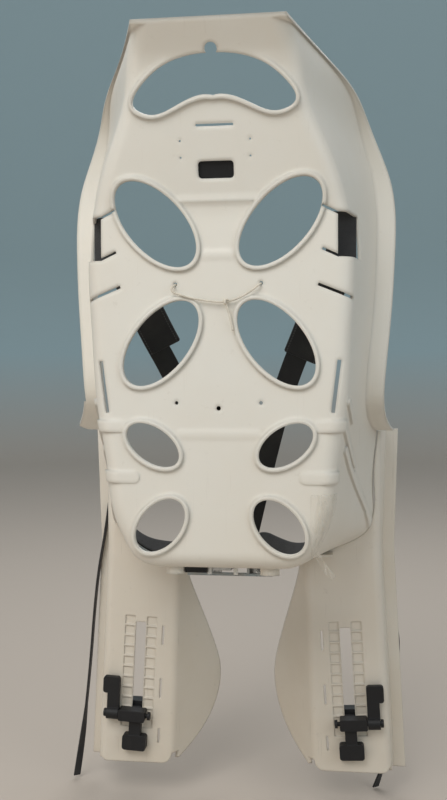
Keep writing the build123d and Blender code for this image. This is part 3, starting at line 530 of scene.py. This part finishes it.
def twisted_string(name, run, radius, material):
    """Three strands twisted into one closed cord along a run."""
    far = travelled_along(run)

    def place(row, share):
        along = direction_at(run, row)
        up = along.cross(Vector((0, 1, 0))).normalized()
        out = up.cross(along)
        turn = 2 * math.pi * share
        lobe = radius * (STRAND_CORE + STRAND_SWELL * math.cos(STRANDS * turn))
        twist = turn + 2 * math.pi * far[row] / STRING_PITCH
        return run[row] + (up * math.cos(twist) + out * math.sin(twist)) * lobe, (share, far[row])

    return laid_grid(name, STRING_SIDES, len(run) - 1, place, material, closed=True)


def string_fibre_group():
    """Fine fibres along each strand, grey dirt and a soft surface."""
    tree, given = shader_group("string_fibre", {"Colour": (0.7, 0.66, 0.58, 1), "Dirt": (0.4, 0.36, 0.3, 1)})
    place = add_node(tree, "ShaderNodeTexCoord").outputs["Object"]
    fibres = noise_at(tree, place, 1400.0, 3.0)
    dirt = noise_at(tree, place, 110.0, 4.0)
    dirty = ramp(tree, dirt, 0.4, 0.75, 0.0, 0.7)
    share = math_node(tree, "ADD", dirty, ramp(tree, fibres, 0.45, 0.75, 0.0, 0.3))
    colour = mix_colour(tree, share, given["Colour"], given["Dirt"])
    rough = ramp(tree, fibres, 0.0, 1.0, 0.75, 0.95)
    add_node(tree, "NodeGroupOutput", {"Colour": colour, "Roughness": rough, "Height": fibres})
    return tree


string_cotton = surface_material(
    "string_cotton", string_fibre_group(),
    {"Colour": (0.76, 0.71, 0.61, 1), "Dirt": (0.52, 0.47, 0.38, 1)},
    bump_strength=0.4, bump_distance=0.0003, sockets={"Sheen Weight": 0.1})
string_route = [from_panel(-47.5, 7, 360), from_panel(-47.5, STRING_DEPTH, 360)]
string_route += [from_panel(across, STRING_DEPTH, height) for across, height in (
    (-53, 352), (-33, 345), (-11, 341), (9, 339), (27, 345), (41, 354))]
string_route += [from_panel(47.5, STRING_DEPTH, 360), from_panel(47.5, 7, 360)]
string_run = smooth_run(string_route, resolution=16)
string = twisted_string("tie_string_cord", string_run, STRING_RADIUS, string_cotton)
fix_to_seat(string, "string", "tie_string")

KNOT_REACH = 0.0026
KNOT_POINTS, POINTS_A_TURN = 20, 8
KNOT_ADVANCE, KNOT_SWAY = 0.0002, 0.0006
KNOT_THIN = 0.9
knot_centre = from_panel(9, STRING_DEPTH, 340)
knot_route = []
for step in range(KNOT_POINTS):
    turn = 2 * math.pi * step / POINTS_A_TURN
    sideways = KNOT_ADVANCE * (step - (KNOT_POINTS - 1) / 2) + KNOT_SWAY * math.sin(turn / 2)
    around = Vector((sideways, KNOT_REACH * math.cos(turn), KNOT_REACH * math.sin(turn)))
    knot_route.append(knot_centre + around)
knot_run = smooth_run(knot_route, resolution=6)
knot = twisted_string("tie_knot_wraps", knot_run, STRING_RADIUS * KNOT_THIN, string_cotton)
fix_to_seat(knot, "string", "tie_knot")

tail_run = smooth_run([from_panel(across, STRING_DEPTH, height) for across, height in (
    (9, 339), (10.4, 335), (14, 324), (17, 308.5))], resolution=12)
tail = twisted_string("tie_tail_cord", tail_run, STRING_RADIUS, string_cotton)
fix_to_seat(tail, "string", "tie_tail")

# Corner film: clear packing film stuck over the split lower right corner of the shell. It has
# yellowed, is creased where it turns round the fold, and a puckered end of it hangs down.


def clear_film_material():
    """Thin clear film, duller and less clear along its creases."""
    material = bpy.data.materials.new("clear_corner_film")
    material.use_nodes = True
    tree = material.node_tree
    shader = tree.nodes["Principled BSDF"]
    place = add_node(tree, "ShaderNodeTexCoord").outputs["Object"]
    stretched = stretched_place(tree, place, (0.3, 0.5, 0.6), (140.0, 60.0, 34.0))
    creases = noise_at(tree, stretched, 1.0, 4.0, Distortion=1.2)
    crease = ramp(tree, creases, 0.50, 0.66)
    tint = mix_colour(tree, crease, (0.66, 0.60, 0.48, 1), (0.86, 0.83, 0.76, 1))
    bump = add_node(tree, "ShaderNodeBump", {"Height": creases, "Strength": 0.7, "Distance": 0.002})
    tree.links.new(ramp(tree, crease, 0.0, 1.0, 0.05, 0.22), shader.inputs["Alpha"])
    tree.links.new(ramp(tree, crease, 0.0, 1.0, 0.06, 0.22), shader.inputs["Roughness"])
    tree.links.new(tint, shader.inputs["Base Color"])
    tree.links.new(bump.outputs["Normal"], shader.inputs["Normal"])
    shader.inputs["Coat Weight"].default_value = 0.6
    shader.inputs["Coat Roughness"].default_value = 0.05
    return material


FILM_LONG_EDGE = 0.006
CREASE_HEIGHT = 0.0012
CREASE_SCALE = (140, 60, 40)
clear_film = clear_film_material()
film = bmesh.new()
film.from_mesh(nodes["corner_strip"].data)
bmesh.ops.remove_doubles(film, verts=film.verts, dist=1e-5)
long_edges = [edge for edge in film.edges if edge.calc_length() > FILM_LONG_EDGE]
bmesh.ops.subdivide_edges(film, edges=long_edges, cuts=2)
bmesh.ops.triangulate(film, faces=film.faces)
film.normal_update()
for corner in film.verts:
    crease = noise.noise(corner.co * Vector(CREASE_SCALE))
    corner.co += corner.normal * max(0.0, crease) * CREASE_HEIGHT
shade_smooth(film)
film_piece = put_in_scene("corner_film", finished_mesh("corner_film", film, clear_film))
fix_to_seat(film_piece, "clear_film", "corner_strip")

FILM_TAIL_WIDTH, FILM_THICK = 0.008, 0.0006
FILM_TAIL_WAY = (0.6, 0.5, 0.6)
PUCKER_HEIGHT, PUCKER_RATE = 0.0018, 1900.0
tail_film_run = smooth_run([from_panel(*place) for place in (
    (108, 11, 60), (114, 4, 50), (120, 1, 43), (126, 2, 36))])
film_tail = tape("corner_film_tail", tail_film_run, FILM_TAIL_WIDTH, FILM_THICK, clear_film, FILM_TAIL_WAY,
                 columns=8)
for corner in film_tail.data.vertices:
    corner.co.y += PUCKER_HEIGHT * math.sin(PUCKER_RATE * (corner.co.x + corner.co.z))
fix_to_seat(film_tail, "clear_film")

# Stage: a pale round floor whose rim sweeps up all round into a low backdrop, a large soft lamp above
# and smaller fills beside, below and in front of the seat.
FLOOR_CLEARANCE = 0.004
SWEEP_START, SWEEP_RADIUS, SWEEP_TOP = 4.6, 1.4, 3.4
SWEEP_STEPS, ROUND_STEPS = 12, 64
TINT_RISE = 0.7
FLOOR_TINT, BACKDROP_TINT = (0.50, 0.44, 0.38, 1), (0.42, 0.56, 0.60, 1)
floor_height = cad_box[0].z - FLOOR_CLEARANCE
sweep_profile = [(0.0, 0.0), (1.0, 0.0), (SWEEP_START, 0.0)]
for step in range(1, SWEEP_STEPS + 1):
    turn = math.radians(90.0 * step / SWEEP_STEPS)
    sweep_profile.append((SWEEP_START + SWEEP_RADIUS * math.sin(turn), SWEEP_RADIUS * (1 - math.cos(turn))))
sweep_profile.append((SWEEP_START + SWEEP_RADIUS, SWEEP_TOP))
stage = bmesh.new()
line = [stage.verts.new((reach, 0, floor_height + rise)) for reach, rise in sweep_profile]
edges = [stage.edges.new(pair) for pair in zip(line, line[1:])]
bmesh.ops.spin(stage, geom=line + edges, cent=(0, 0, 0), axis=(0, 0, 1), angle=2 * math.pi,
               steps=ROUND_STEPS, use_merge=True)
bmesh.ops.remove_doubles(stage, verts=stage.verts, dist=1e-5)
bmesh.ops.recalc_face_normals(stage, faces=stage.faces)
shade_smooth(stage)
stage_paint = bpy.data.materials.new("pale_stage")
stage_paint.use_nodes = True
stage_tree = stage_paint.node_tree
stage_shader = stage_tree.nodes["Principled BSDF"]
stage_place = add_node(stage_tree, "ShaderNodeTexCoord").outputs["Object"]
stage_rise = add_node(stage_tree, "ShaderNodeSeparateXYZ", {"Vector": stage_place}).outputs["Z"]
stage_share = ramp(stage_tree, stage_rise, floor_height, floor_height + TINT_RISE)
stage_tint = mix_colour(stage_tree, stage_share, FLOOR_TINT, BACKDROP_TINT)
stage_tree.links.new(stage_tint, stage_shader.inputs["Base Color"])
stage_shader.inputs["Roughness"].default_value = 0.9
sweep_object = put_in_scene("stage_sweep", finished_mesh("stage_sweep", stage, stage_paint))

lamps = {
    "key_lamp": ((-0.7, -1.9, 2.0), (0.0, 0.0, 0.2), 1.6, 37.0, (1.0, 0.99, 0.97)),
    "side_lamp": ((1.9, -1.3, 0.9), (0.0, 0.0, 0.1), 1.2, 9.0, (0.96, 0.98, 1.0)),
    "low_lamp": ((-1.5, -1.3, 0.0), (0.0, 0.0, 0.0), 1.0, 5.0, (1.0, 0.84, 0.72)),
    "rear_lamp": ((0.0, 1.5, 1.9), (0.0, 0.0, 0.2), 1.4, 14.0, (1.0, 1.0, 1.0)),
}
for name, (place, aim, size, power, tint) in lamps.items():
    lamp = bpy.data.lights.new(name, "AREA")
    lamp.size = size
    lamp.energy = power
    lamp.color = tint
    lamp_object = put_in_scene(name, lamp)
    lamp_object.location = place
    lamp_object.rotation_mode = "QUATERNION"
    lamp_object.rotation_quaternion = (Vector(aim) - Vector(place)).to_track_quat("-Z", "Y")

SKY_TINT, SKY_LIGHT = (0.95, 0.97, 1.0, 1), 0.55
world = bpy.data.worlds.new("studio")
world.use_nodes = True
sky = world.node_tree.nodes["Background"]
sky.inputs["Color"].default_value = SKY_TINT
sky.inputs["Strength"].default_value = SKY_LIGHT
bpy.context.scene.world = world
bpy.context.scene.view_settings.view_transform = "Standard"

# Camera: behind the seat, a little to its right and about level with the middle of the panel, turned
# back towards it and tipped slightly down, with the angles in degrees.
CAMERA_PLACE = (0.1318, -1.1563, 0.2647)
CAMERA_TURN, CAMERA_PITCH, CAMERA_ROLL = 7.1, -2.1, 0.3
CAMERA_LENS = 41.7
camera = bpy.data.cameras.new("camera")
camera.lens = CAMERA_LENS
camera_object = put_in_scene("camera", camera)
looking = Matrix.Rotation(math.radians(CAMERA_TURN), 4, "Z")
looking = looking @ Matrix.Rotation(math.radians(CAMERA_PITCH), 4, "X")
looking = looking @ Matrix.Rotation(math.radians(CAMERA_ROLL), 4, "Y")
camera_object.matrix_world = (
    Matrix.Translation(CAMERA_PLACE) @ looking @ Matrix.Rotation(math.radians(90), 4, "X"))
bpy.context.scene.camera = camera_object
